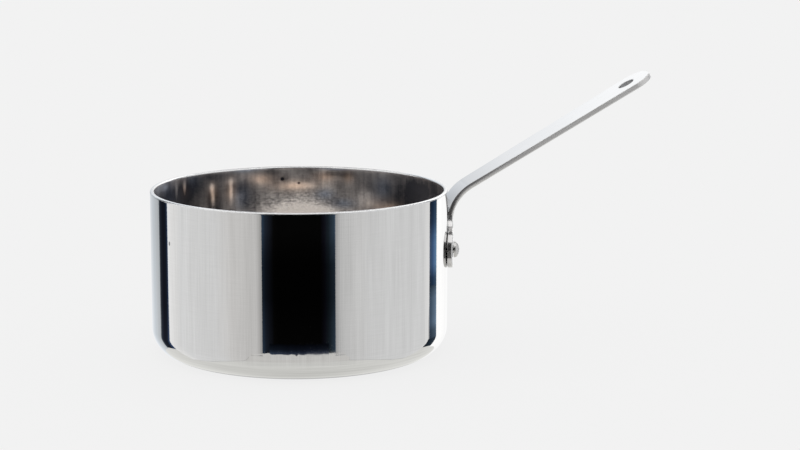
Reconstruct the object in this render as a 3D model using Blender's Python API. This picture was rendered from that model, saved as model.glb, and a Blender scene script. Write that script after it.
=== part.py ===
"""A straight-sided saucepan: a drawn pan, a bent strap handle and the two rivets that hold it on.

Metres, +Z up. The origin is the middle of the base, on the surface the pan stands on, and the handle
points along +X.
"""

import math

import bmesh
import bpy
from mathutils import Matrix, Vector

# Pan
PAN_RADIUS = 0.090
PAN_HEIGHT = 0.100
WALL = 0.0025
CORNER_ROUND = 0.016
LIP_ROUND = 0.00115

# Handle: a plate wrapped round the wall, then a strap that bends away from it
STRAP_THICKNESS = 0.0033
PLATE_WIDTH = 0.060
PLATE_HEIGHT = 0.0222
PLATE_TOP_ROUND = 0.0105
PLATE_BOTTOM_ROUND = 0.0072
PLATE_DROP = 0.0255  # from the rim down to the plate's top edge
FLARE_FILLET = 0.008
NECK_WIDTH = 0.021
END_WIDTH = 0.028
END_ROUND_SHARE = 0.9  # of half the end's width, so the tip is a little blunter than a half circle
BEND_RADIUS = 0.027  # of the face that looks at the wall
BEND_DROP = 0.0218  # from the rim down to where the strap leaves the wall
ARM_LENGTH = 0.1316
ARM_SLOPE = math.radians(30)
HANG_HOLE_RADIUS = 0.005
HANG_HOLE_MARGIN = 0.0156  # from the tip to the middle of the hole
EDGE_ROUND = 0.0008
EDGE_LIMIT_SHARE = 0.3  # the most of the strap's thickness that an edge round takes
END_FLAT_SHARE = 0.05  # the least that stays straight between two rounds of the plate

# Rivets
SHANK_RADIUS = 0.0025
HEAD_RADIUS = 0.005
HEAD_HEIGHT = 0.0034
HEAD_EDGE = 0.0006  # the upright band below a head's dome
INNER_HEAD_HEIGHT = 0.0014
INNER_HEAD_EDGE = 0.0004
RIVET_MARGIN = 0.0105  # from the plate's end to a rivet
RIVET_HEIGHT_SHARE = 0.48  # of the plate's height, from its bottom edge

# Fits
GAP = 0.0003  # between faces that seat on each other, and round each shank
OVERRUN = 0.002  # how far a cutter goes past the material

# Fineness
PAN_STEPS = 96
ARC_STEPS = 8
LIP_STEPS = 4
END_STEPS = 10
EDGE_STEPS = 2
ROUND_PROFILE = 0.5  # the bevel's setting for a round edge
RIVET_STEPS = 32
HOLE_SIDES = 32
BEND_CUTS = 15
WRAP_CUTS = 18
MERGE = 0.00001

# Places that follow from the sizes
SEAT_RADIUS = PAN_RADIUS + GAP
INNER_RADIUS = PAN_RADIUS - WALL
PLATE_BOTTOM = PAN_HEIGHT - PLATE_DROP - PLATE_HEIGHT
BEND_START = PAN_HEIGHT - BEND_DROP - PLATE_BOTTOM  # along the strap, from the plate's bottom edge
BEND_TURN = math.pi / 2 - ARM_SLOPE
BEND_END = BEND_START + BEND_RADIUS * BEND_TURN
TIP = BEND_END + ARM_LENGTH
RIVET_TURN = (PLATE_WIDTH / 2 - RIVET_MARGIN) / SEAT_RADIUS
RIVET_LEVEL = PLATE_BOTTOM + RIVET_HEIGHT_SHARE * PLATE_HEIGHT

SMOOTH_ANGLE = math.radians(35)

POLISHED_STEEL = (0.62, 0.61, 0.59, 1.0)
POLISHED_ROUGHNESS = 0.06
HANDLE_STEEL = (0.60, 0.60, 0.60, 1.0)
HANDLE_ROUGHNESS = 0.12
RIVET_STEEL = (0.58, 0.58, 0.57, 1.0)
RIVET_ROUGHNESS = 0.16


def clear_scene():
    for obj in list(bpy.data.objects):
        bpy.data.objects.remove(obj, do_unlink=True)


def steel(name, colour, roughness):
    material = bpy.data.materials.new(name)
    material.use_nodes = True
    shader = material.node_tree.nodes["Principled BSDF"]
    shader.inputs["Base Color"].default_value = colour
    shader.inputs["Metallic"].default_value = 1.0
    shader.inputs["Roughness"].default_value = roughness
    return material


def add_object(name, mesh):
    obj = bpy.data.objects.new(name, mesh)
    bpy.context.scene.collection.objects.link(obj)
    return obj


def hide(obj):
    """A cutter shows as wire and is left out of a render."""
    obj.hide_render = True
    obj.display_type = "WIRE"


def cut(obj, cutter):
    modifier = obj.modifiers.new("cut_" + cutter.name, "BOOLEAN")
    modifier.operation = "DIFFERENCE"
    modifier.solver = "EXACT"
    modifier.object = cutter


def apply_modifiers(obj):
    bpy.context.view_layer.update()
    evaluated = obj.evaluated_get(bpy.context.evaluated_depsgraph_get())
    obj.data = bpy.data.meshes.new_from_object(evaluated)
    obj.modifiers.clear()


def dress(obj, material):
    """Smooth shading with sharp corners, and the piece's one material."""
    obj.data.shade_smooth()
    obj.data.set_sharp_from_angle(angle=SMOOTH_ANGLE)
    obj.data.materials.clear()
    obj.data.materials.append(material)


def arc(centre, radius, start, end, steps):
    """Points on an arc in a plane, its angles in radians from the first axis."""
    points = []
    for i in range(steps + 1):
        angle = start + (end - start) * i / steps
        points.append((centre[0] + radius * math.cos(angle), centre[1] + radius * math.sin(angle)))
    return points


def turned(name, profile, steps):
    """A solid of revolution about Z from (radius, height) points, listed down its outer side."""
    mesh = bpy.data.meshes.new(name)
    points = [(radius, 0, height) for radius, height in profile]
    mesh.from_pydata(points, [(i, i + 1) for i in range(len(points) - 1)], [])
    obj = add_object(name, mesh)
    screw = obj.modifiers.new("turn", "SCREW")
    screw.axis = "Z"
    screw.steps = steps
    screw.render_steps = steps
    screw.use_merge_vertices = True
    screw.merge_threshold = MERGE
    return obj


def cylinder(name, radius, start, end, sides):
    """A hidden cutter from one point to another."""
    start = Vector(start)
    axis = Vector(end) - start
    mesh = bpy.data.meshes.new(name)
    form = bmesh.new()
    bmesh.ops.create_cone(
        form, cap_ends=True, segments=sides, radius1=radius, radius2=radius, depth=axis.length
    )
    form.to_mesh(mesh)
    form.free()
    obj = add_object(name, mesh)
    obj.rotation_mode = "QUATERNION"
    obj.rotation_quaternion = axis.to_track_quat("Z", "Y")
    obj.location = start + axis / 2
    hide(obj)
    return obj


def pan_profile():
    """(radius, height) from the middle of the inside floor, over the lip, to the middle of the base."""
    corner_middle = PAN_RADIUS - CORNER_ROUND
    inner_round = CORNER_ROUND - WALL
    lip = min(LIP_ROUND, WALL / 2)
    lip_level = PAN_HEIGHT - lip
    quarter = math.pi / 2
    points = [(0, WALL)]
    points += arc((corner_middle, CORNER_ROUND), inner_round, -quarter, 0, ARC_STEPS)
    points += arc((INNER_RADIUS + lip, lip_level), lip, math.pi, quarter, LIP_STEPS)
    points += arc((PAN_RADIUS - lip, lip_level), lip, quarter, 0, LIP_STEPS)
    points += arc((corner_middle, CORNER_ROUND), CORNER_ROUND, 0, -quarter, ARC_STEPS)
    points.append((0, 0))
    return points


def make_pan(material, cutters):
    pan = turned("pan_body", pan_profile(), PAN_STEPS)
    for cutter in cutters:
        cut(pan, cutter)
    apply_modifiers(pan)
    dress(pan, material)
    return pan


def blank_outline():
    """The flat blank's edge, anticlockwise, as (across, along) with the plate's bottom edge at 0."""
    half_plate = PLATE_WIDTH / 2
    half_neck = NECK_WIDTH / 2
    half_end = END_WIDTH / 2
    end_round = END_ROUND_SHARE * half_end
    shoulder = half_plate - half_neck
    flare = min(FLARE_FILLET, shoulder / 2)
    top_round = min(PLATE_TOP_ROUND, (1 - END_FLAT_SHARE) * (shoulder - flare), PLATE_HEIGHT / 2)
    bottom_round = min(PLATE_BOTTOM_ROUND, (1 - END_FLAT_SHARE) * (PLATE_HEIGHT - top_round))
    quarter = math.pi / 2
    flare_middle = (half_neck + flare, PLATE_HEIGHT + flare)
    end_middle = (half_end - end_round, TIP - end_round)
    # The strap's edge is the line that touches the flare on one side and the round end on the other.
    across = flare_middle[0] - end_middle[0]
    along = flare_middle[1] - end_middle[1]
    lean = math.atan2(along, across) + math.acos((end_round + flare) / math.hypot(across, along))
    right = arc((half_plate - bottom_round, bottom_round), bottom_round, -quarter, 0, ARC_STEPS)
    right += arc((half_plate - top_round, PLATE_HEIGHT - top_round), top_round, 0, quarter, ARC_STEPS)
    right += arc(flare_middle, flare, -quarter, lean - math.pi, ARC_STEPS)
    right += arc(end_middle, end_round, lean, quarter, END_STEPS)
    left = [(-across, along) for across, along in reversed(right)]
    return right + left


def place(across, along, depth):
    """Where a point of the flat blank lies on the bent handle; depth runs from the wall's side outwards."""
    bent = min(max(along - BEND_START, 0), BEND_END - BEND_START) / BEND_RADIUS
    beyond = max(along - BEND_END, 0)
    below = min(along, BEND_START)
    x = SEAT_RADIUS + BEND_RADIUS * (1 - math.cos(bent)) + beyond * math.sin(bent)
    z = PLATE_BOTTOM + below + BEND_RADIUS * math.sin(bent) + beyond * math.cos(bent)
    # The wall's curve across the strap fades out round the bend.
    flat_share = bent / BEND_TURN
    wrap_share = 1 - flat_share * flat_share * (3 - 2 * flat_share)
    turn = across * wrap_share / SEAT_RADIUS
    y = across + depth * math.sin(turn)
    inward = 0
    if wrap_share > 0:
        wrap_radius = SEAT_RADIUS / wrap_share
        y = (wrap_radius + depth) * math.sin(turn)
        inward = wrap_radius * (1 - math.cos(turn))
    out = depth * math.cos(turn) - inward
    return Vector((x + out * math.cos(bent), y, z - out * math.sin(bent)))


def slice_blank(form, places, axis, limit):
    """Cut lines across the blank, so that it bends smoothly; limit keeps them off the straight arm."""
    for value in places:
        near = [face for face in form.faces if min(v.co.y for v in face.verts) < limit]
        edges = {edge for face in near for edge in face.edges}
        corners = {v for face in near for v in face.verts}
        point = Vector((0, 0, 0))
        point[axis] = value
        normal = Vector((0, 0, 0))
        normal[axis] = 1
        bmesh.ops.bisect_plane(
            form, geom=near + list(edges) + list(corners), plane_co=point, plane_no=normal, dist=MERGE
        )


def make_blank():
    """The flat blank as a slab in x (across), y (along) and z (depth), its edges rounded, sliced to bend."""
    form = bmesh.new()
    outline = blank_outline()
    corners = [form.verts.new((across, along, 0)) for across, along in reversed(outline)]
    lower = form.faces.new(corners)
    raised = bmesh.ops.extrude_face_region(form, geom=[lower], use_keep_orig=True)["geom"]
    upper = [v for v in raised if isinstance(v, bmesh.types.BMVert)]
    bmesh.ops.translate(form, verts=upper, vec=(0, 0, STRAP_THICKNESS))
    rims = [edge for edge in form.edges if abs(edge.verts[0].co.z - edge.verts[1].co.z) < MERGE]
    bmesh.ops.bevel(
        form,
        geom=rims,
        offset=min(EDGE_ROUND, EDGE_LIMIT_SHARE * STRAP_THICKNESS),
        segments=EDGE_STEPS,
        profile=ROUND_PROFILE,
        affect="EDGES",
    )
    bend_places = [BEND_START + (BEND_END - BEND_START) * i / BEND_CUTS for i in range(BEND_CUTS + 1)]
    wrap_places = [PLATE_WIDTH * i / WRAP_CUTS - PLATE_WIDTH / 2 for i in range(1, WRAP_CUTS)]
    slice_blank(form, bend_places, 1, TIP)
    slice_blank(form, wrap_places, 0, BEND_END - MERGE)
    return form


def make_handle(material, cutters):
    form = make_blank()
    for vertex in form.verts:
        vertex.co = place(*vertex.co)
    bmesh.ops.recalc_face_normals(form, faces=form.faces)
    mesh = bpy.data.meshes.new("handle")
    form.to_mesh(mesh)
    form.free()
    handle = add_object("handle", mesh)
    for cutter in cutters:
        cut(handle, cutter)
    apply_modifiers(handle)
    dress(handle, material)
    return handle


def hang_hole_cutter():
    along = TIP - HANG_HOLE_MARGIN
    above = place(0, along, -OVERRUN)
    below = place(0, along, STRAP_THICKNESS + OVERRUN)
    return cylinder("hang_hole", HANG_HOLE_RADIUS, above, below, HOLE_SIDES)


def rivet_point(turn, radius):
    return Vector((radius * math.cos(turn), radius * math.sin(turn), RIVET_LEVEL))


def shank_hole_cutter(name, turn):
    inside = rivet_point(turn, INNER_RADIUS - OVERRUN)
    outside = rivet_point(turn, SEAT_RADIUS + STRAP_THICKNESS + OVERRUN)
    return cylinder(name, SHANK_RADIUS + GAP, inside, outside, HOLE_SIDES)


def head(radius, height, edge, level, way, steps):
    """Half of a domed head's outline from its crown to its underside's corner; way is 1 up, -1 down."""
    points = []
    for i in range(steps + 1):
        angle = math.pi / 2 * (1 - i / steps)
        points.append((radius * math.cos(angle), level + way * (edge + (height - edge) * math.sin(angle))))
    points[0] = (0, level + way * height)
    points.append((radius, level))
    return points


def make_rivet(name, turn, material):
    """One rivet, upset at both ends: its local height is the distance from the pan's axis."""
    # The inside wall is hollow, so the inner head's rim is what meets it first.
    inner_seat = math.sqrt(INNER_RADIUS**2 - HEAD_RADIUS**2) - GAP
    outer_seat = SEAT_RADIUS + STRAP_THICKNESS + GAP
    profile = head(HEAD_RADIUS, HEAD_HEIGHT, HEAD_EDGE, outer_seat, 1, ARC_STEPS)
    profile.append((SHANK_RADIUS, outer_seat))
    profile.append((SHANK_RADIUS, inner_seat))
    profile += reversed(head(HEAD_RADIUS, INNER_HEAD_HEIGHT, INNER_HEAD_EDGE, inner_seat, -1, ARC_STEPS))
    rivet = turned(name, profile, RIVET_STEPS)
    apply_modifiers(rivet)
    middle = (inner_seat + outer_seat) / 2
    rivet.data.transform(Matrix.Translation((0, 0, -middle)))
    rivet.rotation_mode = "QUATERNION"
    rivet.rotation_quaternion = rivet_point(turn, 1).xy.to_3d().to_track_quat("Z", "Y")
    rivet.location = rivet_point(turn, middle)
    dress(rivet, material)
    return rivet


def main():
    clear_scene()
    rivets = {"rivet_left": RIVET_TURN, "rivet_right": -RIVET_TURN}
    shank_holes = [shank_hole_cutter(name + "_hole", turn) for name, turn in rivets.items()]
    pan = make_pan(steel("polished_pan", POLISHED_STEEL, POLISHED_ROUGHNESS), shank_holes)
    handle = make_handle(
        steel("polished_handle", HANDLE_STEEL, HANDLE_ROUGHNESS), shank_holes + [hang_hole_cutter()]
    )
    handle.parent = pan
    rivet_steel = steel("rivet_steel", RIVET_STEEL, RIVET_ROUGHNESS)
    for name, turn in rivets.items():
        make_rivet(name, turn, rivet_steel).parent = pan


main()
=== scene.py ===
"""The looks of the saucepan: its finished meshes, its metals and the studio it stands in.

Metres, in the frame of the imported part: +Z up, the pan's axis at the origin, the handle along +X.
"""

import math

import bmesh
import bpy
from mathutils import Matrix, Vector


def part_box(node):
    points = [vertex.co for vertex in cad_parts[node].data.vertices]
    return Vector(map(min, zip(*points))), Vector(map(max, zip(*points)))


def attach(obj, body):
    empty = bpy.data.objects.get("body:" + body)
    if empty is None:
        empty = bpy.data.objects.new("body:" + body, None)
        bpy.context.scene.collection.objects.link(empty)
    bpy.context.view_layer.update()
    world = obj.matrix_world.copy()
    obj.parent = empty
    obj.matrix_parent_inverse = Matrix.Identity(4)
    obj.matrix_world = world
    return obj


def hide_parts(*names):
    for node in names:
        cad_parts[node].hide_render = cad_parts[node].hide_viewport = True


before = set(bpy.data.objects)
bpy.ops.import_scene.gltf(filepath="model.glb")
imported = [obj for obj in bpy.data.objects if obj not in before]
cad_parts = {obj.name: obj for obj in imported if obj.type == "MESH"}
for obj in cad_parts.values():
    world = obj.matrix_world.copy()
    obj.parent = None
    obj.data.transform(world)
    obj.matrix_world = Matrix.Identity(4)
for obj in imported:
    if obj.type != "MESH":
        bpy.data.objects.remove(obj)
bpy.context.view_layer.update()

# Pan
PAN_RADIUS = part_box("pan_body")[1].y
PAN_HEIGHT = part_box("pan_body")[1].z
WALL = 0.0025
CORNER_ROUND = 0.016
LIP_ROUND = 0.00115

# Handle
STRAP_THICKNESS = 0.0033
PLATE_WIDTH = 0.060
PLATE_HEIGHT = 0.0222
PLATE_TOP_ROUND = 0.0105
PLATE_BOTTOM_ROUND = 0.0072
PLATE_DROP = 0.0255
FLARE_FILLET = 0.008
NECK_WIDTH = 0.021
END_WIDTH = 0.028
END_ROUND_SHARE = 0.9
BEND_RADIUS = 0.027
BEND_DROP = 0.0218
ARM_LENGTH = 0.1316
ARM_SLOPE = math.radians(30)
HANG_HOLE_RADIUS = 0.005
HANG_HOLE_MARGIN = 0.0156
UPPER_EDGE_ROUND = 0.0004
LOWER_EDGE_ROUND = 0.0008
EDGE_SLOT = 1

# Rivets
SHANK_RADIUS = 0.0025
HEAD_RADIUS = 0.005
HEAD_HEIGHT = 0.0034
HEAD_EDGE = 0.0006
INNER_HEAD_HEIGHT = 0.0014
INNER_HEAD_EDGE = 0.0004
RIVET_MARGIN = 0.0105
RIVET_HEIGHT_SHARE = 0.48

# Fits
GAP = 0.0003
OVERRUN = 0.002

# Fineness
PAN_STEPS = 256
RIVET_STEPS = 64
CORNER_STEPS = 24
LIP_STEPS = 8
DOME_STEPS = 16
OUTLINE_STEPS = 24
EDGE_STEPS = 6
HOLE_STEPS = 48
BEND_CUTS = 48
WRAP_CUTS = 48
FLOOR_SHARES = (0, 0.05, 0.2, 0.4, 0.6, 0.8, 0.98, 1)
WALL_SHARES = (0, 0.01, 0.25, 0.5, 0.75, 0.99, 1)
MERGE = 0.00001
SMOOTH_ANGLE = math.radians(35)
QUARTER = math.pi / 2
LEVEL_NORMAL = 0.01

# Places that follow from the sizes
SEAT_RADIUS = PAN_RADIUS + GAP
INNER_RADIUS = PAN_RADIUS - WALL
PLATE_BOTTOM = PAN_HEIGHT - PLATE_DROP - PLATE_HEIGHT
BEND_START = PAN_HEIGHT - BEND_DROP - PLATE_BOTTOM
BEND_TURN = QUARTER - ARM_SLOPE
BEND_END = BEND_START + BEND_RADIUS * BEND_TURN
TIP = BEND_END + ARM_LENGTH
RIVET_TURN = (PLATE_WIDTH / 2 - RIVET_MARGIN) / SEAT_RADIUS
RIVET_LEVEL = PLATE_BOTTOM + RIVET_HEIGHT_SHARE * PLATE_HEIGHT

# Camera, from the photograph's perspective
CAMERA_PLACE = (-0.17660, -1.25659, 0.30443)
CAMERA_YAW = 0.187776
CAMERA_PITCH = 0.17733
CAMERA_ROLL = 0.00215
LENS = 95.318
SENSOR = 36

# Studio: turns are degrees from the camera's side, and in a colour or a brightness 1 is white
BACKGROUND_COLOUR = (0.8879, 0.8879, 0.8879, 1.0)
FLOOR_COLOUR = (0.8, 0.8, 0.8, 1.0)
FLOOR_SIZE = 60
SHADOW_SHARE = 0.08
SUN_STRENGTH = 0.698
SUN_SPREAD = math.radians(80)
CAMERA_SIDE = math.atan2(CAMERA_PLACE[1], CAMERA_PLACE[0])
CARD_DISTANCE = 1.3
CARD_FRONT = CARD_DISTANCE * 0.995
CARD_BACK = CARD_DISTANCE * 1.01
CARD_TOP = 1.3
CARD_STEP = 3
DISC_STEPS = 48
FLAG_FOOT = -0.2762
FLAG_SIDE = -0.275
FLAG_LAP = -0.266
FLAG_FADE = -0.262
BOARD_TURN = 48
BOARD_FOOT = -0.8
BOARD_COLOUR = (0.82, 0.81, 0.79)
WARMTH = -0.012
EDGE_LINE = 0.02
EDGE_BRIGHTNESS = 0.72
SHELF_BRIGHTNESS = 0.8
GAP_FOOT = -0.57
GAP_MIDDLE = -0.217
BACK_FOOT = -0.6
BACK_COLOUR = (0.8, 0.82, 0.85)
OVERHEAD_COLOUR = (1.4, 1.4, 1.4)
TABLE_LEVEL = -1.5
TABLE_RADIUS = CARD_DISTANCE * 1.02
TABLE_COLOUR = (0.96, 0.96, 0.93)
TABLE_FRONT_COLOUR = (0.87, 0.87, 0.845)
# The table's darker middle and the contact disc are painted shadow of the pan
TABLE_SHADOW_COLOUR = (0.81, 0.81, 0.78)
CONTACT_LEVEL = -0.0004
CONTACT_RADIUS = 0.0795
CONTACT_SHADOW_COLOURS = ((0.62, 0.62, 0.62), (0.4, 0.4, 0.4))
SHADE_LEVEL = 1.29
SHADE_REACH = (0.3, 1.25)
SHADE_WIDTH = 1.0
SHADE_COLOUR = (0.15, 0.15, 0.15)

# Marks on the metals: features per metre round the pan or across the strap, and along the other way
WHEEL_MARKS = (1500.0, 25.0)
LEVEL_MARKS = (60.0, 1800.0)
BROAD_MARKS = (220.0, 8.0)
CORNER_MARKS = (20.0, 900.0)
SATIN_MARKS = [(450.0, 30.0), (150.0, 25.0)]
SATIN_LUMPS = (420.0, 900.0)
STRAP_MARKS = (1300.0, 25.0)

# Rings about the pan's axis: features per metre outwards and per radian round it
FLOOR_RINGS = (1500.0, 2.0)
BASE_RINGS = (1200.0, 1.0)

# Clouds and grain: features per metre, and how fine the satin's are
GRAIN = 900.0
LIP_GRAIN = 600.0
RIVET_CLOUDS = 150.0
STRAP_SMUDGES = 90.0
SATIN_CLOUDS = 70.0
EDGE_CLOUDS = 60.0
FLOOR_CLOUDS = 45.0
WALL_SMUDGES = 40.0
SATIN_GRAIN_DETAIL = 4.0
SATIN_CLOUD_DETAIL = 5.0

# How strongly the marks show
WHEEL_CONTRAST = 1.1
CORNER_CONTRAST = 1.6
LEVEL_CONTRAST = 0.5
FLOOR_CONTRAST = 1.0
GRAIN_CONTRAST = 0.3
EDGE_CONTRAST = 0.5
RIVET_CONTRAST = 0.6
SATIN_CLOUD_CONTRAST = 0.7
SATIN_MARK_CONTRAST = 0.5
SATIN_LIGHT = 0.13

# Values at which the marks reach their darkest and lightest
NOISE_LIMITS = (0.3, 0.7)
SMUDGE_LIMITS = (0.35, 0.75)
POLISH_LIMITS = (-0.4, 0.4)
GROUND_LIMITS = (-0.3, 0.3)

# Colours of the metals, darkest and lightest
WALL_COLOURS = ((0.575, 0.572, 0.567, 1.0), (0.67, 0.668, 0.663, 1.0))
FLOOR_COLOURS = ((0.42, 0.41, 0.4, 1.0), (0.66, 0.64, 0.62, 1.0))
LIP_COLOURS = ((0.62, 0.62, 0.62, 1.0), (0.72, 0.72, 0.72, 1.0))
BASE_COLOURS = ((0.5, 0.5, 0.49, 1.0), (0.64, 0.64, 0.63, 1.0))
STRAP_COLOURS = ((0.59, 0.595, 0.6, 1.0), (0.66, 0.66, 0.66, 1.0))
EDGE_COLOURS = ((0.56, 0.55, 0.545, 1.0), (0.66, 0.655, 0.65, 1.0))
RIVET_COLOURS = ((0.46, 0.455, 0.45, 1.0), (0.6, 0.595, 0.58, 1.0))
# The satin inside's colours run from its darkest to its lightest painted light and shade
SATIN_COLOURS = ((0.1, 0.105, 0.125, 1.0), (0.5, 0.46, 0.44, 1.0), (0.92, 0.84, 0.77, 1.0))
SATIN_MIDDLE = 0.4

# Roughness of the metals
WALL_ROUGHNESS = (0.008, 0.022)
SATIN_ROUGHNESS = (0.34, 0.62)
FLOOR_ROUGHNESS = (0.3, 0.42)
LIP_ROUGHNESS = (0.2, 0.28)
BASE_ROUGHNESS = (0.16, 0.24)
STRAP_ROUGHNESS = (0.05, 0.1)
EDGE_ROUGHNESS = (0.2, 0.42)
EDGE_UNEVENNESS = 0.1
RIVET_ROUGHNESS = (0.24, 0.34)

# Unevenness of the polished wall as tilts of its surface, and where round the corner its marks turn
LEVEL_TILT = 0.007
WHEEL_TILT = 0.002
BROAD_TILT = 0.0015
WALL_MARKS_SHARE = 0.5

# Small pits in the polish: (degrees from the side away from the handle, height), (radians, metres) in size
PITS = [((24.4, 0.0752), (0.01, 0.0014)), ((80.6, 0.0176), (0.007, 0.0005))]
PIT_LIMITS = (0.3, 0.6)
PIT_DARKNESS = 0.8
PIT_COLOUR = (0.05, 0.05, 0.055, 1.0)

# The strap round its bend, the upper and the lower side of its edge there, and its hanging hole; the bend,
# the upper side and the hole are darkened as painted shade
BEND_TOP_SHARE = 1.15
BEND_SHADE = 0.5
BEND_SHADE_COLOUR = (0.42, 0.43, 0.44, 1.0)
BEND_FADE_SHARE = 0.3
UPPER_SIDE = (0.25 * STRAP_THICKNESS, 0.5 * STRAP_THICKNESS)
UPPER_SIDE_SHADE = 0.75
UPPER_SIDE_SHADE_COLOUR = (0.16, 0.15, 0.155, 1.0)
LOWER_SIDE = (0.4 * STRAP_THICKNESS, 0.7 * STRAP_THICKNESS)
LOWER_SIDE_LEAN = -0.12
EDGE_METALLIC = 0.95
BUFFED_SHARE = 1.25
HOLE_REACH_SHARE = 1.15
HOLE_SHADE = 0.6
HOLE_SHADE_COLOUR = (0.2, 0.21, 0.23, 1.0)

# The inside where its painted light and its wear are strongest: less metallic, and pitted
WORN_AND_PAINTED_LIGHT_FROM = 0.3
WORN_AND_PAINTED_LIGHT_METALLIC = 0.15
PITTED_FROM = 0.45
PITTED_LIFT = 0.5
SATIN_LIFT = 0.1
SATIN_TILT = 0.05
LUMP_LEVEL = 0.45
LUMP_SHARE = 0.12
LUMPY_MIDDLE = (83, 0.026)
LUMPY_SIZE = (0.35, 0.009)

# Patches on the inside, mostly painted light and shade: (degrees from the handle's side, metres below the
# rim), size, strength
# The streaks, bands and lights are painted highlights, the darker patches painted shade, and the worn patch
# partly wear and partly painted light
CLOUDS = {
    "broad painted light": ((80, 0.022), (34, 0.035), 0.36),
    "painted light under the rim": ((90, 0.0), (110, 0.0018), 0.32),
    "left rim": ((160, 0.003), (16, 0.004), 0.3),
    "left speckles": ((152, 0.004), (2.5, 0.002), 0.2),
    "left painted highlight": ((143, 0.0095), (1.1, 0.006), 0.45),
    "second painted highlight": ((137.3, 0.0075), (1.1, 0.0045), 0.62),
    "third painted highlight": ((121.55, 0.0105), (1.4, 0.0035), 0.5),
    "third painted highlight's foot": ((121, 0.0175), (1.1, 0.005), 0.5),
    "fourth painted highlight": ((112.0, 0.0145), (0.9, 0.0075), 0.45),
    "fourth painted highlight's haze": ((110, 0.02), (3.5, 0.008), 0.2),
    "fourth painted highlight's head": ((112.3, 0.0078), (1.9, 0.0024), 0.32),
    "warm patch": ((99, 0.0085), (4, 0.004), 0.25),
    "painted shade patch": ((96, 0.0035), (5, 0.0018), -0.08),
    "bright painted band": ((82, 0.0125), (8, 0.0028), 0.45),
    "worn and painted light patch": ((80, 0.0305), (17, 0.0072), 0.85),
    "small patch": ((71, 0.009), (4, 0.004), 0.12),
    "patch at the rim": ((74, 0.004), (4, 0.002), 0.15),
    "worn and painted light patch's right end": ((68, 0.0245), (4, 0.0045), -0.25),
    "worn and painted light patch's left end": ((99, 0.0235), (4, 0.004), -0.13),
    "right patch": ((52.3, 0.0195), (4.5, 0.0065), 0.38),
    "far right patch": ((40, 0.0245), (9, 0.004), 0.3),
    "painted shade under the rim": ((80, 0.0012), (9, 0.0022), -0.14),
    "painted shade at right": ((68, 0.0045), (12, 0.002), -0.2),
    "dark side": ((22, 0.013), (20, 0.012), -0.27),
    "other dark side": ((144, 0.014), (11, 0.0095), -0.36),
    "other painted shade": ((121, 0.003), (5, 0.004), -0.12),
    "painted haze beside the highlights": ((114.8, 0.018), (2.2, 0.009), 0.16),
    "dark spot": ((107.5, 0.0125), (2.5, 0.0035), -0.12),
    "dark foot": ((103, 0.021), (4, 0.007), -0.08),
    "first speck": ((89.2, 0.0081), (0.55, 0.0009), -1.2),
    "second speck": ((82.2, 0.0109), (0.5, 0.0005), -1.0),
}

# Its bluish and brownish patches: (degrees from the handle's side, metres below the rim), size
COOL_TINT = (0.76, 0.88, 1.06, 1.0)
COOL_PATCHES = [
    ((160, 0.006), (16, 0.014)),
    ((150, 0.011), (5, 0.01)),
    ((133, 0.004), (5, 0.006)),
    ((107, 0.018), (4, 0.009)),
    ((105, 0.001), (8, 0.002)),
    ((66, 0.001), (8, 0.0015)),
    ((71, 0.018), (4, 0.0035)),
    ((63, 0.0235), (5, 0.003)),
    ((44, 0.012), (5, 0.008)),
]
WARM_TINT = (1.18, 0.97, 0.82, 1.0)
WARM_PATCHES = [
    ((98, 0.0075), (6, 0.004)),
    ((84, 0.0125), (10, 0.004)),
    ((71, 0.0065), (5, 0.0035)),
    ((61, 0.006), (3, 0.004)),
    ((137, 0.009), (3, 0.006)),
    ((121, 0.0145), (3, 0.007)),
    ((112, 0.014), (3, 0.008)),
    ((40, 0.024), (10, 0.006)),
]


# Meshes


def add_object(name, data):
    obj = bpy.data.objects.new(name, data)
    bpy.context.scene.collection.objects.link(obj)
    return obj


def apply_modifiers(obj):
    bpy.context.view_layer.update()
    evaluated = obj.evaluated_get(bpy.context.evaluated_depsgraph_get())
    obj.data = bpy.data.meshes.new_from_object(evaluated)
    obj.modifiers.clear()


def smooth(obj):
    """Smooth shading with sharp corners, in which the large faces keep their own direction."""
    obj.data.shade_smooth()
    obj.data.set_sharp_from_angle(angle=SMOOTH_ANGLE)
    weighted = obj.modifiers.new("weighted", "WEIGHTED_NORMAL")
    weighted.keep_sharp = True
    apply_modifiers(obj)


def arc(centre, radius, start, end, steps):
    """Points on an arc in a plane, its angles in radians from the first axis."""
    points = []
    for i in range(steps + 1):
        angle = start + (end - start) * i / steps
        points.append((centre[0] + radius * math.cos(angle), centre[1] + radius * math.sin(angle)))
    return points


def run(start, end, shares):
    """Points on a straight stretch, at these shares of its length."""
    return [tuple(a + (b - a) * share for a, b in zip(start, end)) for share in shares]


def circle(radius, height, count):
    """Points round the pan's axis."""
    turns = [2 * math.pi * i / count for i in range(count)]
    return [(radius * math.cos(turn), radius * math.sin(turn), height) for turn in turns]


def turned(name, sections, steps):
    """A solid of revolution about Z. Each section of (radius, height) points has a material slot."""
    verts = []
    faces = []
    slots = []
    last_point = None
    last_ring = None
    for slot, points in enumerate(sections):
        for radius, height in points:
            if last_point and math.dist(last_point, (radius, height)) < MERGE:
                continue
            count = steps if radius > MERGE else 1
            ring = [len(verts) + i for i in range(count)]
            verts += circle(radius, height, count)
            if last_ring:
                for i in range(steps):
                    j = i + 1
                    face = [last_ring[i % len(last_ring)], ring[i % count], ring[j % count]]
                    face.append(last_ring[j % len(last_ring)])
                    faces.append(list(dict.fromkeys(face)))
                    slots.append(slot)
            last_point = (radius, height)
            last_ring = ring
    mesh = bpy.data.meshes.new(name)
    mesh.from_pydata(verts, [], faces)
    mesh.polygons.foreach_set("material_index", slots)
    return add_object(name, mesh)


def finished(name, form):
    """An object from a mesh under construction."""
    mesh = bpy.data.meshes.new(name)
    form.to_mesh(mesh)
    form.free()
    return add_object(name, mesh)


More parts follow.
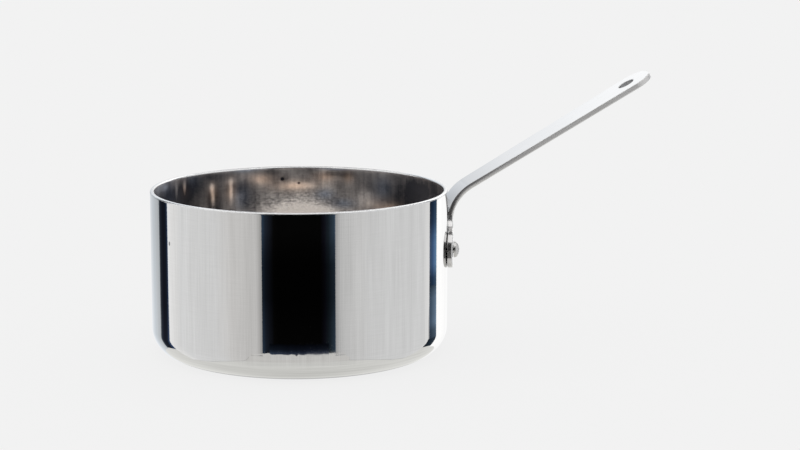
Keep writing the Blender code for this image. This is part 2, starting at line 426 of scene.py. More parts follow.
def cylinder(name, radius, start, end, sides):
    """A hidden cutter from one point to another."""
    start = Vector(start)
    axis = Vector(end) - start
    form = bmesh.new()
    bmesh.ops.create_cone(
        form, cap_ends=True, segments=sides, radius1=radius, radius2=radius, depth=axis.length
    )
    obj = finished(name, form)
    obj.rotation_mode = "QUATERNION"
    obj.rotation_quaternion = axis.to_track_quat("Z", "Y")
    obj.location = start + axis / 2
    obj.hide_render = True
    obj.display_type = "WIRE"
    return obj


def cut(obj, cutters):
    for cutter in cutters:
        modifier = obj.modifiers.new("cut_" + cutter.name, "BOOLEAN")
        modifier.operation = "DIFFERENCE"
        modifier.solver = "EXACT"
        modifier.object = cutter
    apply_modifiers(obj)


def pan_sections():
    """The pan's outline in five parts, from its floor's middle over the lip to its base's middle."""
    middle = PAN_RADIUS - CORNER_ROUND
    lip_level = PAN_HEIGHT - LIP_ROUND
    inner_round = CORNER_ROUND - WALL
    floor = run((0, WALL), (middle, WALL), FLOOR_SHARES)
    inside = arc((middle, CORNER_ROUND), inner_round, -QUARTER, 0, CORNER_STEPS)
    inside += run((INNER_RADIUS, CORNER_ROUND), (INNER_RADIUS, lip_level), WALL_SHARES)
    lip = arc((INNER_RADIUS + LIP_ROUND, lip_level), LIP_ROUND, math.pi, QUARTER, LIP_STEPS)
    lip += arc((PAN_RADIUS - LIP_ROUND, lip_level), LIP_ROUND, QUARTER, 0, LIP_STEPS)
    outside = run((PAN_RADIUS, lip_level), (PAN_RADIUS, CORNER_ROUND), WALL_SHARES)
    outside += arc((middle, CORNER_ROUND), CORNER_ROUND, 0, -QUARTER, CORNER_STEPS)
    base = run((middle, 0), (0, 0), [1 - share for share in reversed(FLOOR_SHARES)])
    return [floor, inside, lip, outside, base]


def make_pan(cutters):
    pan = turned("pan", pan_sections(), PAN_STEPS)
    cut(pan, cutters)
    smooth(pan)
    return pan


def half_outline():
    """The right half of the flat blank, anticlockwise, as (across, along), with half of the hanging hole."""
    half_plate = PLATE_WIDTH / 2
    half_neck = NECK_WIDTH / 2
    half_end = END_WIDTH / 2
    end_round = END_ROUND_SHARE * half_end
    flare_middle = (half_neck + FLARE_FILLET, PLATE_HEIGHT + FLARE_FILLET)
    end_middle = (half_end - end_round, TIP - end_round)
    # The strap's edge is the line that touches the flare on one side and the round end on the other.
    across = flare_middle[0] - end_middle[0]
    along = flare_middle[1] - end_middle[1]
    lean = math.atan2(along, across) + math.acos((end_round + FLARE_FILLET) / math.hypot(across, along))
    bottom_middle = (half_plate - PLATE_BOTTOM_ROUND, PLATE_BOTTOM_ROUND)
    top_middle = (half_plate - PLATE_TOP_ROUND, PLATE_HEIGHT - PLATE_TOP_ROUND)
    hole_middle = (0, TIP - HANG_HOLE_MARGIN)
    points = [(0, 0)]
    points += arc(bottom_middle, PLATE_BOTTOM_ROUND, -QUARTER, 0, OUTLINE_STEPS)
    points += arc(top_middle, PLATE_TOP_ROUND, 0, QUARTER, OUTLINE_STEPS)
    points += arc(flare_middle, FLARE_FILLET, -QUARTER, lean - math.pi, OUTLINE_STEPS)
    points += arc(end_middle, end_round, lean, QUARTER, OUTLINE_STEPS)
    points.append((0, TIP))
    points += arc(hole_middle, HANG_HOLE_RADIUS, QUARTER, -QUARTER, HOLE_STEPS // 2)
    return points


def place(across, along, depth):
    """Where a point of the flat blank lies on the bent handle; depth runs from the wall's side outwards."""
    bent = min(max(along - BEND_START, 0), BEND_END - BEND_START) / BEND_RADIUS
    beyond = max(along - BEND_END, 0)
    below = min(along, BEND_START)
    x = SEAT_RADIUS + BEND_RADIUS * (1 - math.cos(bent)) + beyond * math.sin(bent)
    z = PLATE_BOTTOM + below + BEND_RADIUS * math.sin(bent) + beyond * math.cos(bent)
    # The wall's curve across the strap fades out round the bend.
    flat_share = bent / BEND_TURN
    wrap_share = 1 - flat_share * flat_share * (3 - 2 * flat_share)
    turn = across * wrap_share / SEAT_RADIUS
    y = across + depth * math.sin(turn)
    inward = 0
    if wrap_share > 0:
        wrap_radius = SEAT_RADIUS / wrap_share
        y = (wrap_radius + depth) * math.sin(turn)
        inward = wrap_radius * (1 - math.cos(turn))
    out = depth * math.cos(turn) - inward
    return Vector((x + out * math.cos(bent), y, z - out * math.sin(bent)))


def slice_blank(form, places, axis, limit):
    """Cut lines across the blank, so that it bends smoothly; limit keeps them off the straight arm."""
    for value in places:
        near = [face for face in form.faces if min(v.co.y for v in face.verts) < limit]
        edges = {edge for face in near for edge in face.edges}
        corners = {v for face in near for v in face.verts}
        point = Vector((0, 0, 0))
        point[axis] = value
        normal = Vector((0, 0, 0))
        normal[axis] = 1
        bmesh.ops.bisect_plane(
            form, geom=near + list(edges) + list(corners), plane_co=point, plane_no=normal, dist=MERGE
        )


def round_rims(form, level, radius):
    """Round the edges round one of the slab's broad faces."""
    rims = []
    for edge in form.edges:
        here = all(abs(v.co.z - level) < MERGE for v in edge.verts)
        if here and edge.is_manifold and edge.calc_face_angle() > SMOOTH_ANGLE:
            rims.append(edge)
    bmesh.ops.bevel(
        form, geom=rims, offset=radius, segments=EDGE_STEPS, profile=0.5, affect="EDGES",
        material=EDGE_SLOT,
    )


def make_blank():
    """The flat blank as a slab in x (across), y (along) and z (depth), its edges rounded, sliced to bend."""
    form = bmesh.new()
    halves = [half_outline()]
    halves.append([(-across, along) for across, along in reversed(halves[0])])
    for half in halves:
        form.faces.new([form.verts.new((across, along, 0)) for across, along in reversed(half)])
    bmesh.ops.remove_doubles(form, verts=form.verts, dist=MERGE)
    raised = bmesh.ops.extrude_face_region(form, geom=list(form.faces), use_keep_orig=True)["geom"]
    upper = [v for v in raised if isinstance(v, bmesh.types.BMVert)]
    bmesh.ops.translate(form, verts=upper, vec=(0, 0, STRAP_THICKNESS))
    bmesh.ops.recalc_face_normals(form, faces=form.faces)
    round_rims(form, 0, UPPER_EDGE_ROUND)
    round_rims(form, STRAP_THICKNESS, LOWER_EDGE_ROUND)
    for face in form.faces:
        if abs(face.normal.z) < LEVEL_NORMAL:
            face.material_index = EDGE_SLOT
    bend_places = [BEND_START + (BEND_END - BEND_START) * i / BEND_CUTS for i in range(BEND_CUTS + 1)]
    wrap_places = [PLATE_WIDTH * i / WRAP_CUTS - PLATE_WIDTH / 2 for i in range(1, WRAP_CUTS)]
    slice_blank(form, bend_places, 1, TIP)
    slice_blank(form, wrap_places, 0, BEND_END - MERGE)
    return form


def make_handle(cutters):
    form = make_blank()
    low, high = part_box("handle")
    # No point goes beyond the solid's box.
    for vertex in form.verts:
        point = place(*vertex.co)
        vertex.co = [min(max(value, low[i]), high[i]) for i, value in enumerate(point)]
    bmesh.ops.recalc_face_normals(form, faces=form.faces)
    handle = finished("strap_handle", form)
    cut(handle, cutters)
    smooth(handle)
    return handle


def rivet_point(turn, radius):
    return Vector((radius * math.cos(turn), radius * math.sin(turn), RIVET_LEVEL))


def shank_hole_cutter(name, turn):
    inside = rivet_point(turn, INNER_RADIUS - OVERRUN)
    outside = rivet_point(turn, SEAT_RADIUS + STRAP_THICKNESS + OVERRUN)
    return cylinder(name, SHANK_RADIUS + GAP, inside, outside, HOLE_STEPS)


def head(radius, height, edge, level, way):
    """Half of a domed head's outline from its crown to its underside's corner; way is 1 up, -1 down."""
    points = []
    for i in range(DOME_STEPS + 1):
        angle = QUARTER * (1 - i / DOME_STEPS)
        points.append((radius * math.cos(angle), level + way * (edge + (height - edge) * math.sin(angle))))
    points[0] = (0, level + way * height)
    points.append((radius, level))
    return points


def make_rivet(name, turn):
    """One rivet, upset at both ends: before it is placed, its height is the distance from the pan's axis."""
    inner_seat = math.sqrt(INNER_RADIUS**2 - HEAD_RADIUS**2) - GAP
    outer_seat = SEAT_RADIUS + STRAP_THICKNESS + GAP
    profile = head(HEAD_RADIUS, HEAD_HEIGHT, HEAD_EDGE, outer_seat, 1)
    profile.append((SHANK_RADIUS, outer_seat))
    profile.append((SHANK_RADIUS, inner_seat))
    profile += reversed(head(HEAD_RADIUS, INNER_HEAD_HEIGHT, INNER_HEAD_EDGE, inner_seat, -1))
    rivet = turned(name, [profile], RIVET_STEPS)
    outwards = rivet_point(turn, 1).xy.to_3d().to_track_quat("Z", "Y").to_matrix().to_4x4()
    rivet.data.transform(Matrix.Translation((0, 0, RIVET_LEVEL)) @ outwards)
    smooth(rivet)
    return rivet


# Materials


def feed(tree, made, inputs):
    """Give a node its inputs, each a value or another node's socket."""
    for name, value in inputs.items():
        if isinstance(value, bpy.types.NodeSocket):
            tree.links.new(value, made.inputs[name])
        else:
            made.inputs[name].default_value = value


def node(tree, kind, inputs=None, **settings):
    """A node with its settings and its inputs."""
    made = tree.nodes.new(kind)
    for name, value in settings.items():
        setattr(made, name, value)
    feed(tree, made, inputs or {})
    return made


def maths(tree, operation, *values):
    return node(tree, "ShaderNodeMath", dict(enumerate(values)), operation=operation).outputs[0]


def plus(tree, first, second):
    return maths(tree, "ADD", first, second)


def times(tree, first, second):
    return maths(tree, "MULTIPLY", first, second)


def vector_maths(tree, operation, *values, result="Vector"):
    """The result is a Vector, or a Value where the operation gives a number."""
    made = node(tree, "ShaderNodeVectorMath", dict(enumerate(values)), operation=operation)
    return made.outputs[result]


def scaled(tree, vector, factor):
    return node(tree, "ShaderNodeVectorMath", {0: vector, "Scale": factor}, operation="SCALE").outputs[0]


def span(tree, value, low, high, new_low=0.0, new_high=1.0):
    """A value mapped from one range to another and kept inside it."""
    inputs = {"Value": value, "From Min": low, "From Max": high, "To Min": new_low, "To Max": new_high}
    return node(tree, "ShaderNodeMapRange", inputs).outputs[0]


def blend(tree, share, first, second, way="MIX"):
    mixed = node(tree, "ShaderNodeMix", data_type="RGBA", blend_type=way)
    places = {socket.identifier: i for i, socket in enumerate(mixed.inputs)}
    feed(tree, mixed, {places["Factor_Float"]: share, places["A_Color"]: first, places["B_Color"]: second})
    return next(socket for socket in mixed.outputs if socket.identifier == "Result_Color")


def toned(tree, marks, limits, colours):
    """The marks as a colour between a dark and a light one, which they reach at the limits."""
    return blend(tree, span(tree, marks, *limits), *colours)


def position(tree):
    """The point's coordinates on the object."""
    return node(tree, "ShaderNodeTexCoord").outputs["Object"]


def parts(tree, vector):
    """A vector's x, y and z."""
    return node(tree, "ShaderNodeSeparateXYZ", {"Vector": vector}).outputs[:]


def turn_on_pan(tree, x, y):
    """The angle about the pan's axis from the side away from the handle: its seam is at the handle."""
    return maths(tree, "ARCTAN2", times(tree, y, -1.0), times(tree, x, -1.0))


def noise(tree, vector, detail=2.0):
    return node(tree, "ShaderNodeTexNoise", {"Vector": vector, "Scale": 1.0, "Detail": detail}).outputs["Fac"]


def streaks(tree, first, second, densities):
    """Noise over two coordinates, each with its own number of features per metre."""
    stretched = {"X": times(tree, first, densities[0]), "Y": times(tree, second, densities[1])}
    return noise(tree, node(tree, "ShaderNodeCombineXYZ", stretched).outputs[0])


def rings(tree, vector, densities):
    """Noise in rings about the pan's axis."""
    x, y = parts(tree, vector)[:2]
    radius = maths(tree, "SQRT", plus(tree, times(tree, x, x), times(tree, y, y)))
    return streaks(tree, radius, turn_on_pan(tree, x, y), densities)


def centred(tree, value, amount):
    """A noise value shifted to lie about zero and scaled."""
    return times(tree, maths(tree, "SUBTRACT", value, 0.5), amount)


def tilted_normal(tree, sideways, upwards):
    """The surface's direction, turned by small amounts about the vertical and about the horizontal."""
    normal = node(tree, "ShaderNodeNewGeometry").outputs["Normal"]
    level = vector_maths(tree, "CROSS_PRODUCT", (0.0, 0.0, 1.0), normal)
    moved = vector_maths(tree, "ADD", normal, scaled(tree, level, sideways))
    lift = node(tree, "ShaderNodeCombineXYZ", {"Z": upwards}).outputs[0]
    return vector_maths(tree, "NORMALIZE", vector_maths(tree, "ADD", moved, lift))


def new_material(name):
    material = bpy.data.materials.new(name)
    material.use_nodes = True
    return material, material.node_tree


def metal(name, metallic=1.0):
    material, tree = new_material(name)
    shader = tree.nodes["Principled BSDF"]
    shader.inputs["Metallic"].default_value = metallic
    return material, tree, shader


def finish_plainly(tree, shader, marks, limits, colours, clouds, roughness):
    """The marks give the colour and the clouds the roughness."""
    colour = toned(tree, marks, limits, colours)
    rough = span(tree, clouds, *NOISE_LIMITS, *roughness)
    feed(tree, shader, {"Base Color": colour, "Roughness": rough})


def spot(tree, turn, height, middle, size):
    """A soft round spot on the wall, 1 in its middle: middle and size are (radians, metres)."""
    across = maths(tree, "DIVIDE", maths(tree, "SUBTRACT", turn, middle[0]), size[0])
    up = maths(tree, "DIVIDE", maths(tree, "SUBTRACT", height, middle[1]), size[1])
    squares = plus(tree, times(tree, across, across), times(tree, up, up))
    return maths(tree, "EXPONENT", times(tree, squares, -1.0))


def on_inside(degrees, below_rim):
    """A place on the inside as spot takes it; its degrees count from the handle's side."""
    return math.radians(degrees - 180), PAN_HEIGHT - below_rim


def patch(tree, turn, height, middle, size):
    """A soft spot on the inside: middle and size are (degrees, metres)."""
    return spot(tree, turn, height, on_inside(*middle), (math.radians(size[0]), size[1]))


def in_pits(tree, turn, height):
    """How deep in one of the two small pits a point of the wall is."""
    pits = [spot(tree, turn, height, (math.radians(middle[0]), middle[1]), size) for middle, size in PITS]
    return span(tree, maths(tree, "MAXIMUM", *pits), *PIT_LIMITS, 0.0, PIT_DARKNESS)


def polished_wall():
    """Mirror polish with fine upright wheel marks, and fainter ones round the pan."""
    material, tree, shader = metal("mirror_outside")
    vector = position(tree)
    x, y, height = parts(tree, vector)
    turn = turn_on_pan(tree, x, y)
    around = times(tree, turn, PAN_RADIUS)
    wheel = streaks(tree, around, height, WHEEL_MARKS)
    level = streaks(tree, around, height, LEVEL_MARKS)
    broad = streaks(tree, around, height, BROAD_MARKS)
    smudges = noise(tree, scaled(tree, vector, WALL_SMUDGES))
    upright = plus(tree, centred(tree, wheel, WHEEL_CONTRAST), centred(tree, broad, WHEEL_CONTRAST))
    # Round the bottom corner the marks run round the pan.
    on_wall = span(tree, height, WALL_MARKS_SHARE * CORNER_ROUND, CORNER_ROUND)
    corner = centred(tree, streaks(tree, around, height, CORNER_MARKS), CORNER_CONTRAST)
    corner = times(tree, corner, maths(tree, "SUBTRACT", 1.0, on_wall))
    marks = plus(tree, times(tree, upright, on_wall), centred(tree, level, LEVEL_CONTRAST))
    marks = plus(tree, marks, corner)
    colour = toned(tree, marks, POLISH_LIMITS, WALL_COLOURS)
    colour = blend(tree, in_pits(tree, turn, height), colour, PIT_COLOUR)
    rough = span(tree, smudges, *SMUDGE_LIMITS, *WALL_ROUGHNESS)
    sideways = plus(tree, centred(tree, level, LEVEL_TILT), centred(tree, wheel, WHEEL_TILT))
    normal = tilted_normal(tree, sideways, centred(tree, broad, BROAD_TILT))
    feed(tree, shader, {"Base Color": colour, "Roughness": rough, "Normal": normal})
    return material


def satin_light_shade_and_wear(tree, vector, turn, height):
    """How light the inside is painted, from 0 to 1, for painted light and shade and for wear: clouds,
    patches, upright streaks and lumps.
    """
    around = times(tree, turn, INNER_RADIUS)
    clouds = noise(tree, scaled(tree, vector, SATIN_CLOUDS), SATIN_CLOUD_DETAIL)
    light = plus(tree, centred(tree, clouds, SATIN_CLOUD_CONTRAST), SATIN_LIGHT)
    # Patches of painted light and shade, and of wear
    for middle, size, strength in CLOUDS.values():
        light = plus(tree, light, times(tree, patch(tree, turn, height, middle, size), strength))
    fine, coarse = [streaks(tree, around, height, densities) for densities in SATIN_MARKS]
    uneven = centred(tree, times(tree, plus(tree, fine, coarse), 0.5), SATIN_MARK_CONTRAST)
    lumps = maths(tree, "SUBTRACT", streaks(tree, around, height, SATIN_LUMPS), LUMP_LEVEL)
    lumpy = spot(tree, turn, height, on_inside(*LUMPY_MIDDLE), LUMPY_SIZE)
    speckle = times(tree, lumps, plus(tree, lumpy, LUMP_SHARE))
    light = plus(tree, light, plus(tree, uneven, speckle))
    return span(tree, light, 0.0, 1.0)


def satin_colour(tree, light_shade_and_wear, turn, height):
    """Grey-brown from dark to light as the painted light and shade and the wear go, with bluish and brownish
    patches.
    """
    ramp = node(tree, "ShaderNodeValToRGB", {"Fac": light_shade_and_wear})
    stops = ramp.color_ramp.elements
    stops.new(SATIN_MIDDLE)
    for stop, stop_colour in zip(stops, SATIN_COLOURS):
        stop.color = stop_colour
    colour = ramp.outputs["Color"]
    for tint, patches in ((COOL_TINT, COOL_PATCHES), (WARM_TINT, WARM_PATCHES)):
        for middle, size in patches:
            colour = blend(tree, patch(tree, turn, height, middle, size), colour, tint, "MULTIPLY")
    return colour


def satin_wall():
    """The inside: satin, cloudy and grey-brown, with painted light and shade, and lighter and more matt
    patches that are partly worn and partly painted light.
    """
    material, tree, shader = metal("satin_inside")
    vector = position(tree)
    x, y, height = parts(tree, vector)
    turn = turn_on_pan(tree, x, y)
    grain = noise(tree, scaled(tree, vector, GRAIN), SATIN_GRAIN_DETAIL)
    light_shade_and_wear = satin_light_shade_and_wear(tree, vector, turn, height)
    colour = satin_colour(tree, light_shade_and_wear, turn, height)
    metallic = span(tree, light_shade_and_wear, WORN_AND_PAINTED_LIGHT_FROM, 1.0, 1.0, WORN_AND_PAINTED_LIGHT_METALLIC)
    rough = span(tree, light_shade_and_wear, 0.0, 1.0, *SATIN_ROUGHNESS)
    # The worn patches with their painted light are pitted, and their pits face upwards to the light.
    pitted = times(tree, span(tree, light_shade_and_wear, PITTED_FROM, 1.0, 0.0, PITTED_LIFT), grain)
    upwards = plus(tree, centred(tree, grain, SATIN_LIFT), pitted)
    normal = tilted_normal(tree, centred(tree, grain, SATIN_TILT), upwards)
    inputs = {"Base Color": colour, "Metallic": metallic, "Roughness": rough, "Normal": normal}
    feed(tree, shader, inputs)
    return material


def brushed_floor():
    """The inside's floor, brushed in rings."""
    material, tree, shader = metal("brushed_floor")
    vector = position(tree)
    clouds = noise(tree, scaled(tree, vector, FLOOR_CLOUDS))
    brushed = centred(tree, rings(tree, vector, FLOOR_RINGS), FLOOR_CONTRAST)
    marks = plus(tree, brushed, centred(tree, clouds, FLOOR_CONTRAST))
    finish_plainly(tree, shader, marks, POLISH_LIMITS, FLOOR_COLOURS, clouds, FLOOR_ROUGHNESS)
    return material


def polished_lip():
    material, tree, shader = metal("polished_lip")
    grain = noise(tree, scaled(tree, position(tree), LIP_GRAIN))
    finish_plainly(tree, shader, grain, NOISE_LIMITS, LIP_COLOURS, grain, LIP_ROUGHNESS)
    return material


def spun_base():
    """The base: polished, with faint rings."""
    material, tree, shader = metal("spun_base")
    marks = rings(tree, position(tree), BASE_RINGS)
    finish_plainly(tree, shader, marks, NOISE_LIMITS, BASE_COLOURS, marks, BASE_ROUGHNESS)
    return material


def polished_strap():
    """The strap's broad faces: polished lengthwise, and darker round the bend as painted shade."""
    material, tree, shader = metal("polished_strap")
    vector = position(tree)
    x, y, height = parts(tree, vector)
    lengthwise = streaks(tree, y, plus(tree, x, height), STRAP_MARKS)
    smudges = noise(tree, scaled(tree, vector, STRAP_SMUDGES))
    # Painted shade round the bend
    in_bend = span(tree, height, PAN_HEIGHT, BEND_TOP_SHARE * PAN_HEIGHT, BEND_SHADE, 0.0)
    colour = blend(tree, in_bend, toned(tree, lengthwise, NOISE_LIMITS, STRAP_COLOURS), BEND_SHADE_COLOUR)
    rough = span(tree, smudges, *NOISE_LIMITS, *STRAP_ROUGHNESS)
    feed(tree, shader, {"Base Color": colour, "Roughness": rough})
    return material


def place_on_strap(tree, vector):
    """How deep a point lies under the strap's upper face, and how far past the bend it is along the arm."""
    middle = (SEAT_RADIUS + BEND_RADIUS, 0, PLATE_BOTTOM + BEND_START)
    way = (math.cos(ARM_SLOPE), 0, math.sin(ARM_SLOPE))
    offset = vector_maths(tree, "SUBTRACT", vector, middle)
    offset = vector_maths(tree, "MULTIPLY", offset, (1, 0, 1))
    beyond = maths(tree, "MAXIMUM", vector_maths(tree, "DOT_PRODUCT", offset, way, result="Value"), 0.0)
    rest = vector_maths(tree, "SUBTRACT", offset, scaled(tree, way, beyond))
    distance = vector_maths(tree, "LENGTH", rest, result="Value")
    return maths(tree, "SUBTRACT", BEND_RADIUS, distance), beyond


def sides_of_bend(tree, vector, height):
    """Round the bend, how dark the edge's upper side is painted as painted shade, and how far its lower side
    leans to the light.
    """
    flare_top = PLATE_BOTTOM + PLATE_HEIGHT + FLARE_FILLET
    depth, beyond = place_on_strap(tree, vector)
    in_bend = span(tree, beyond, 0.0, BEND_FADE_SHARE * ARM_LENGTH, 1.0, 0.0)
    upper = times(tree, span(tree, depth, *UPPER_SIDE, 1.0, 0.0), in_bend)
    upper = times(tree, upper, span(tree, height, flare_top - GAP, flare_top, 0.0, UPPER_SIDE_SHADE))
    lower = times(tree, span(tree, depth, *LOWER_SIDE, 0.0, LOWER_SIDE_LEAN), in_bend)
    return upper, lower


def hang_hole_shade(tree, vector):
    """How much painted shade a point gets on the hanging hole's wall."""
    middle = tuple(place(0, TIP - HANG_HOLE_MARGIN, STRAP_THICKNESS / 2))
    distance = vector_maths(tree, "DISTANCE", vector, middle, result="Value")
    return span(tree, distance, HANG_HOLE_RADIUS, HOLE_REACH_SHARE * HANG_HOLE_RADIUS, HOLE_SHADE, 0.0)


def ground_edge():
    """The strap's cut edges: ground, and buffed only round the foot, with painted shade on their upper side
    round the bend and in the hanging hole.
    """
    material, tree, shader = metal("ground_edge", EDGE_METALLIC)
    vector = position(tree)
    height = parts(tree, vector)[2]
    grain = noise(tree, scaled(tree, vector, GRAIN))
    clouds = noise(tree, scaled(tree, vector, EDGE_CLOUDS))
    marks = plus(tree, centred(tree, grain, GRAIN_CONTRAST), centred(tree, clouds, EDGE_CONTRAST))
    upper, lean = sides_of_bend(tree, vector, height)
    colour = toned(tree, marks, GROUND_LIMITS, EDGE_COLOURS)
    # Painted shade on the hanging hole's wall
    colour = blend(tree, hang_hole_shade(tree, vector), colour, HOLE_SHADE_COLOUR)
    # Painted shade along the edge's upper side round the bend
    colour = blend(tree, upper, colour, UPPER_SIDE_SHADE_COLOUR)
    rough = span(tree, height, PLATE_BOTTOM + PLATE_HEIGHT, BUFFED_SHARE * PAN_HEIGHT, *EDGE_ROUGHNESS)
    rough = plus(tree, rough, centred(tree, clouds, EDGE_UNEVENNESS))
    normal = tilted_normal(tree, 0.0, lean)
    feed(tree, shader, {"Base Color": colour, "Roughness": rough, "Normal": normal})
    return material


def rivet_metal():
    material, tree, shader = metal("rivet_metal")
    vector = position(tree)
    grain = noise(tree, scaled(tree, vector, GRAIN))
    clouds = noise(tree, scaled(tree, vector, RIVET_CLOUDS))
    marks = plus(tree, centred(tree, grain, GRAIN_CONTRAST), centred(tree, clouds, RIVET_CONTRAST))
    finish_plainly(tree, shader, marks, GROUND_LIMITS, RIVET_COLOURS, clouds, RIVET_ROUGHNESS)
    return material


# Studio


def glow_material():
    """Cards shine with the colour that their corners hold."""
    material, tree = new_material("card_glow")
    tree.nodes.clear()
    colour = node(tree, "ShaderNodeAttribute", attribute_name="glow").outputs["Color"]
    glow = node(tree, "ShaderNodeEmission", {"Color": colour})
    node(tree, "ShaderNodeOutputMaterial", {"Surface": glow.outputs[0]})
    return material


def card_mesh(name, material, verts, faces, colours):
    """A glowing card that only the metal's reflections see."""
    mesh = bpy.data.meshes.new(name)
    mesh.from_pydata(verts, [], faces)
    glow = mesh.color_attributes.new("glow", "FLOAT_COLOR", "POINT")
    for i, colour in enumerate(colours):
        glow.data[i].color = list(colour) + [1.0]
    mesh.materials.append(material)
    obj = add_object(name, mesh)
    for rays in ("camera", "diffuse", "shadow", "volume_scatter"):
        setattr(obj, "visible_" + rays, False)


def card_columns(stops):
    """A card's upright lines: the angle, the colour and the lower edge's height of each."""
    columns = []
    for (turn, colour, low), (next_turn, next_colour, next_low) in zip(stops, stops[1:]):
        steps = max(1, round(abs(next_turn - turn) / CARD_STEP))
        for i in range(steps + 1):
            share = i / steps
            mixed = [a + (b - a) * share for a, b in zip(colour, next_colour)]
            angle = CAMERA_SIDE + math.radians(turn + (next_turn - turn) * share)
            columns.append((angle, mixed, low + (next_low - low) * share))
    return columns


def card(name, material, stops, rises, distance=CARD_DISTANCE):
    """An upright card, bent round the pan at this distance.

    stops go from left to right: (degrees from the camera's side, colour, height of the lower edge).
    rises go up from there: (1 to count from the lower edge or 0 from the base, height, brightness).
    """
    verts = []
    colours = []
    columns = card_columns(stops)
    for angle, colour, low in columns:
        for from_edge, height, brightness in rises:
            level = low * from_edge + height
            verts.append((distance * math.cos(angle), distance * math.sin(angle), level))
            colours.append([value * brightness for value in colour])
    count = len(rises)
    faces = []
    for i in range(len(columns) - 1):
        for j in range(count - 1):
            corner = i * count + j
            faces.append((corner, corner + count, corner + count + 1, corner + 1))
    card_mesh(name, material, verts, faces, colours)


def disc(name, material, height, radius, colour, middle_colour):
    """A level card over or under the pan, with a colour of its own in its middle."""
    verts = [(0, 0, height)] + circle(radius, height, DISC_STEPS)
    faces = [(0, 1 + i, 1 + (i + 1) % DISC_STEPS) for i in range(DISC_STEPS)]
    card_mesh(name, material, verts, faces, [middle_colour] + [colour] * DISC_STEPS)


def grey(level, blue=0.0):
    return [level * (1 - blue), level, level * (1 + blue)]


# The flag and its foot: degrees from the camera's side, colour, height of the lower edge
FLAG = [
    (-27.9, (0.03, 0.04, 0.055), FLAG_SIDE),
    (-27, (0.013, 0.022, 0.036), FLAG_SIDE),
    (-25.2, (0.008, 0.011, 0.017), FLAG_SIDE),
    (-22.5, (0.005, 0.006, 0.009), FLAG_SIDE),
    (-19, grey(0.0015), FLAG_LAP),
    (-16, grey(0.001), FLAG_LAP),
    (15, grey(0.001), FLAG_LAP),
    (18, (0.003, 0.003, 0.005), FLAG_LAP),
    (21, (0.006, 0.009, 0.012), FLAG_SIDE),
    (25.3, (0.018, 0.029, 0.043), FLAG_SIDE),
    (26.1, (0.05, 0.068, 0.1), FLAG_SIDE),
]
FLAG_FOOT_STOPS = [
    (-22.5, (0.024, 0.035, 0.058)),
    (-10, (0.017, 0.023, 0.04)),
    (10, (0.017, 0.023, 0.042)),
    (21, (0.026, 0.034, 0.055)),
]

# The pale panels: degrees from the camera's side, brightness, how bluish, height of the lower edge
LEFT_PANEL = [
    (-118.1, 1.15, 0.06, -0.225),
    (-117.8, 1.15, 0.05, -0.25),
    (-117.3, 1.15, 0.03, -0.272),
    (-116.6, 1.15, 0, -0.3),
    (-115.8, 1.15, 0, -0.42),
    (-114.8, 1.14, 0, -0.6),
    (-113.3, 1.13, 0, -0.8),
    (-112, 1.12, 0, -1.0),
    (-111.5, 1.12, 0, -1.1),
    (-106, 1.075, 0, -1.12),
    (-100, 1.01, 0.008, -1.16),
    (-88, 0.995, 0.005, -1.18),
    (-65, 0.94, 0.004, -0.98),
    (-52, 0.87, WARMTH, -0.83),
    (-46.6, 0.845, WARMTH, -0.77),
    (-44, 0.83, WARMTH, -0.69),
    (-41.7, 0.82, WARMTH, -0.59),
    (-40, 0.815, WARMTH, -0.46),
    (-38.5, 0.805, WARMTH, -0.34),
    (-36.8, 0.79, WARMTH, FLAG_FOOT),
]
RIGHT_PANEL = [
    (33.4, 0.775, 0, FLAG_FOOT),
    (37.3, 0.8, 0, -0.4),
    (38, 0.81, 0, -0.55),
    (38.9, 0.82, 0, -0.7),
    (45.2, 0.85, 0, -0.78),
    (53, 0.885, 0.004, -0.84),
    (71, 0.935, 0.006, -1.0),
    (91, 0.935, 0.006, -1.18),
    (108.5, 0.96, 0.006, -1.12),
    (109.4, 0.97, 0, -1.08),
    (110.5, 0.99, 0, -0.98),
    (112, 1.02, 0, -0.8),
    (112.9, 1.05, 0, -0.6),
    (113.6, 1.06, 0, -0.4),
    (114.3, 1.07, 0, -0.275),
    (116, 1.08, 0, -0.255),
]

# Their stretches beside the flag: degrees from the camera's side, brightness
LEFT_INNER_PANEL = [(-36.8, 0.79), (-32.3, 0.76), (-30, 0.63), (-28.4, 0.48), (-27.7, 0.4)]
RIGHT_INNER_PANEL = [(26, 0.45), (27.5, 0.58), (29, 0.69), (31.3, 0.76), (33.4, 0.775)]

# The dark gaps: degrees from the camera's side, colour, and on the right the colour along the foot
LEFT_GAP = [
    (-133.6, (0.15, 0.17, 0.19)),
    (-131, (0.02, 0.025, 0.037)),
    (-126, (0.01, 0.011, 0.018)),
    (-121, (0.01, 0.014, 0.023)),
    (-119.4, (0.032, 0.05, 0.1)),
    (-110, (0.015, 0.045, 0.13)),
]
RIGHT_GAP = [
    (108, (0.09, 0.12, 0.2), (0.09, 0.12, 0.17)),
    (116, (0.09, 0.12, 0.2), (0.09, 0.12, 0.17)),
    (117.5, (0.045, 0.07, 0.12), (0.072, 0.11, 0.17)),
    (121, (0.038, 0.08, 0.17), (0.1, 0.155, 0.225)),
    (124.5, (0.075, 0.14, 0.26), (0.14, 0.205, 0.295)),
    (128.3, (0.12, 0.22, 0.34), (0.19, 0.29, 0.41)),
]

